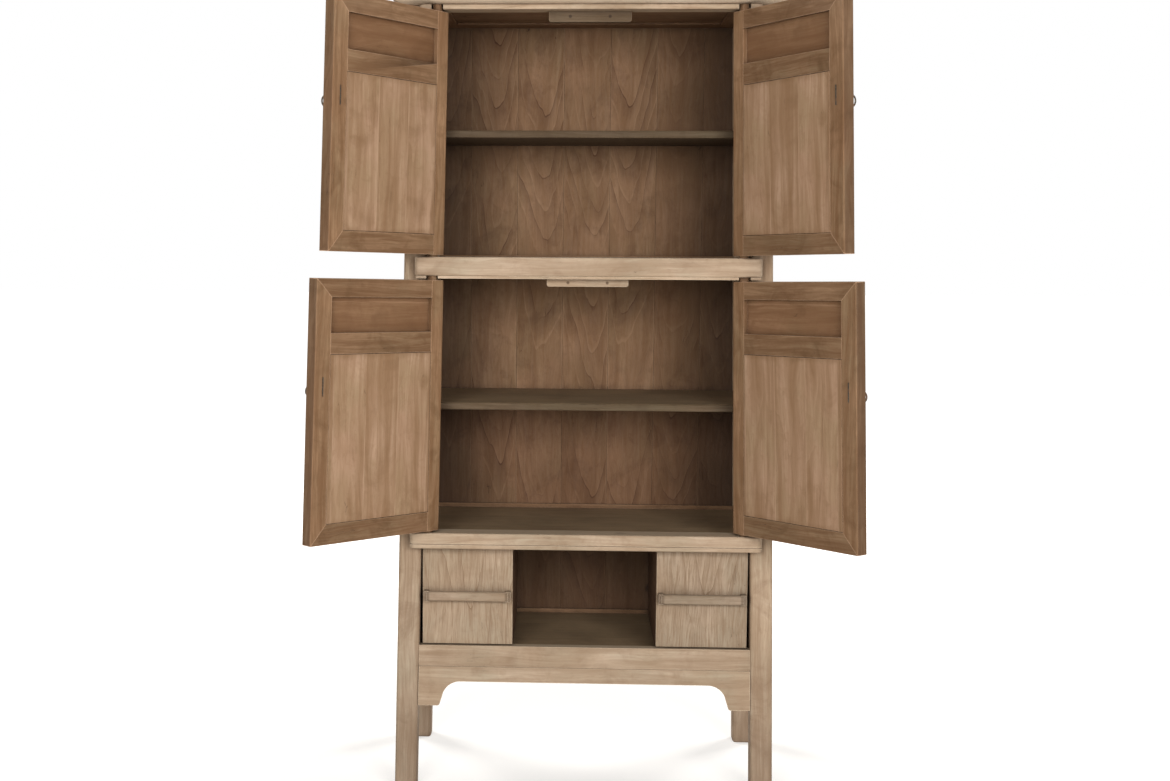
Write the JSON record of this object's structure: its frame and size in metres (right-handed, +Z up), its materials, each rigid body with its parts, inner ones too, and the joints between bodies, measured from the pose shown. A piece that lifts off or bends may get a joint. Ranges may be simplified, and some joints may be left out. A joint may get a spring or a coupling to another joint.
{
  "type": "storage cabinet",
  "caption": "Tall two-storey wooden storage cabinet on leaning legs, with doors standing open, an open niche between drawers and a curved apron.",
  "frame": {"origin": "on the floor, midway between the four feet", "axes": "+X to the right seen from the front, -Y the front with the doors, +Z up"},
  "size_m": [1.2159, 0.7972, 1.878],
  "materials": {
    "frame_wood": "weathered, dry and matte",
    "board_wood": "worn and matte",
    "inner_wood": "aged and matte",
    "grip_wood": "handled and satin",
    "iron": "aged and dull"
  },
  "bodies": {
    "carcass": {"leg_front_left": "frame_wood", "leg_front_right": "frame_wood", "leg_back_left": "frame_wood", "leg_back_right": "frame_wood", "cap_front": "frame_wood", "cap_back": "frame_wood", "cap_left": "frame_wood", "cap_right": "frame_wood", "cap_panel": "board_wood", "top_rail": "frame_wood", "mid_rail": "frame_wood", "mid_lip": "frame_wood", "lower_rail": "frame_wood", "bottom_rail": "frame_wood", "apron": "frame_wood", "side_aprons": "frame_wood", "side_rails": "frame_wood", "side_panels": "board_wood", "back_rails": "frame_wood", "back_boards": "board_wood", "upper_floor": "board_wood", "lower_floor": "board_wood", "niche_floor": "board_wood", "upper_shelf": "inner_wood", "lower_shelf": "inner_wood", "shelf_cleats": "inner_wood", "door_stops": "frame_wood", "partitions": "board_wood", "drawer_runners": "inner_wood"},
    "drawer_left": {"drawer_front_left": "board_wood", "drawer_box_left": "inner_wood", "drawer_grip_left": "grip_wood"},
    "drawer_right": {"drawer_front_right": "board_wood", "drawer_box_right": "inner_wood", "drawer_grip_right": "grip_wood"},
    "door_upper_left": {"hinge_stile_upper_left": "frame_wood", "free_stile_upper_left": "frame_wood", "door_rails_upper_left": "frame_wood", "door_panels_upper_left": "board_wood", "pull_mount_upper_left": "iron"},
    "ring_upper_left": {"pull_ring_upper_left": "iron"},
    "door_upper_right": {"hinge_stile_upper_right": "frame_wood", "free_stile_upper_right": "frame_wood", "door_rails_upper_right": "frame_wood", "door_panels_upper_right": "board_wood", "pull_mount_upper_right": "iron"},
    "ring_upper_right": {"pull_ring_upper_right": "iron"},
    "door_lower_left": {"hinge_stile_lower_left": "frame_wood", "free_stile_lower_left": "frame_wood", "door_rails_lower_left": "frame_wood", "door_panels_lower_left": "board_wood", "pull_mount_lower_left": "iron"},
    "ring_lower_left": {"pull_ring_lower_left": "iron"},
    "door_lower_right": {"hinge_stile_lower_right": "frame_wood", "free_stile_lower_right": "frame_wood", "door_rails_lower_right": "frame_wood", "door_panels_lower_right": "board_wood", "pull_mount_lower_right": "iron"},
    "ring_lower_right": {"pull_ring_lower_right": "iron"}
  },
  "joints": [
    {"name": "drawer_slide_left", "type": "slide", "parent": "carcass", "child": "drawer_left", "axis": [0, -1, 0], "range_m": [0, 0.3]},
    {"name": "drawer_slide_right", "type": "slide", "parent": "carcass", "child": "drawer_right", "axis": [0, -1, 0], "range_m": [0, 0.3]},
    {"name": "door_upper_left_hinge", "type": "hinge", "parent": "carcass", "child": "door_upper_left", "pos_m": [-0.34984, -0.248, 1.54625], "axis": [-0.0188, 0, -0.9998], "range_deg": [-126.5, 23.5]},
    {"name": "ring_upper_left_hinge", "type": "hinge", "parent": "door_upper_left", "child": "ring_upper_left", "pos_m": [-0.56345, -0.49295, 1.61392], "axis": [0.5943, 0.8037, -0.0301], "range_deg": [-20, 120]},
    {"name": "door_upper_right_hinge", "type": "hinge", "parent": "carcass", "child": "door_upper_right", "pos_m": [0.34984, -0.248, 1.54625], "axis": [-0.0188, 0, 0.9998], "range_deg": [-122, 28]},
    {"name": "ring_upper_right_hinge", "type": "hinge", "parent": "door_upper_right", "child": "ring_upper_right", "pos_m": [0.54357, -0.50905, 1.61355], "axis": [0.5294, -0.8479, 0.0288], "range_deg": [-20, 120]},
    {"name": "door_lower_left_hinge", "type": "hinge", "parent": "carcass", "child": "door_lower_left", "pos_m": [-0.36158, -0.248, 0.9235], "axis": [-0.0188, 0, -0.9998], "range_deg": [-131.5, 18.5]},
    {"name": "ring_lower_left_hinge", "type": "hinge", "parent": "door_lower_left", "child": "ring_lower_left", "pos_m": [-0.60349, -0.48209, 0.99192], "axis": [0.662, 0.7488, -0.0313], "range_deg": [-20, 120]},
    {"name": "door_lower_right_hinge", "type": "hinge", "parent": "carcass", "child": "door_lower_right", "pos_m": [0.36158, -0.248, 0.9235], "axis": [-0.0188, 0, 0.9998], "range_deg": [-127, 23]},
    {"name": "ring_lower_right_hinge", "type": "hinge", "parent": "door_lower_right", "child": "ring_lower_right", "pos_m": [0.58437, -0.50044, 0.99156], "axis": [0.6012, -0.7985, 0.0302], "range_deg": [-20, 120]}
  ]
}
